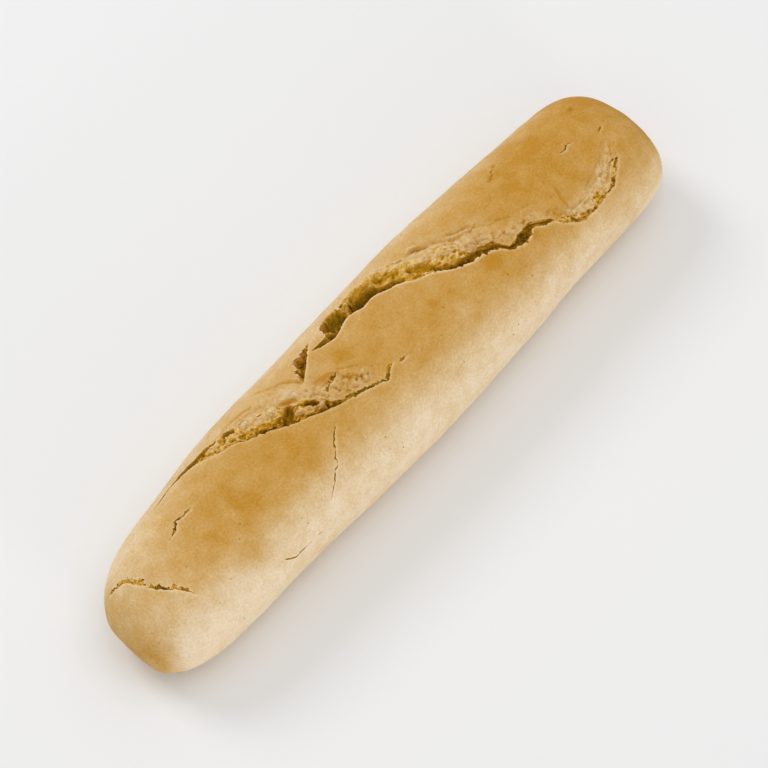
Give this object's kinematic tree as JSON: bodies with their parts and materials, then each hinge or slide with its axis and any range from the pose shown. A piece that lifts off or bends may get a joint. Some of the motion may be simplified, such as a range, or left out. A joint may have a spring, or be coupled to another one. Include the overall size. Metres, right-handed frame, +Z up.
{
  "type": "baguette",
  "caption": "Short baguette, a golden wheat loaf with burst diagonal slashes, torn crumb and a cracked thin crust, lying on a flat base; eaten whole, sliced or split for a sandwich.",
  "frame": {"origin": "middle of the flat base, where the loaf lies on a table", "axes": "+X along the loaf from its nose to its blunt end, +Z up out of the slashed top"},
  "size_m": [0.28, 0.063, 0.0462],
  "materials": {
    "crust": "matte baked crust, golden brown on top and cream at the sides, with open torn crumb in the slashes"
  },
  "bodies": {
    "root": {"loaf": "crust"}
  },
  "joints": []
}
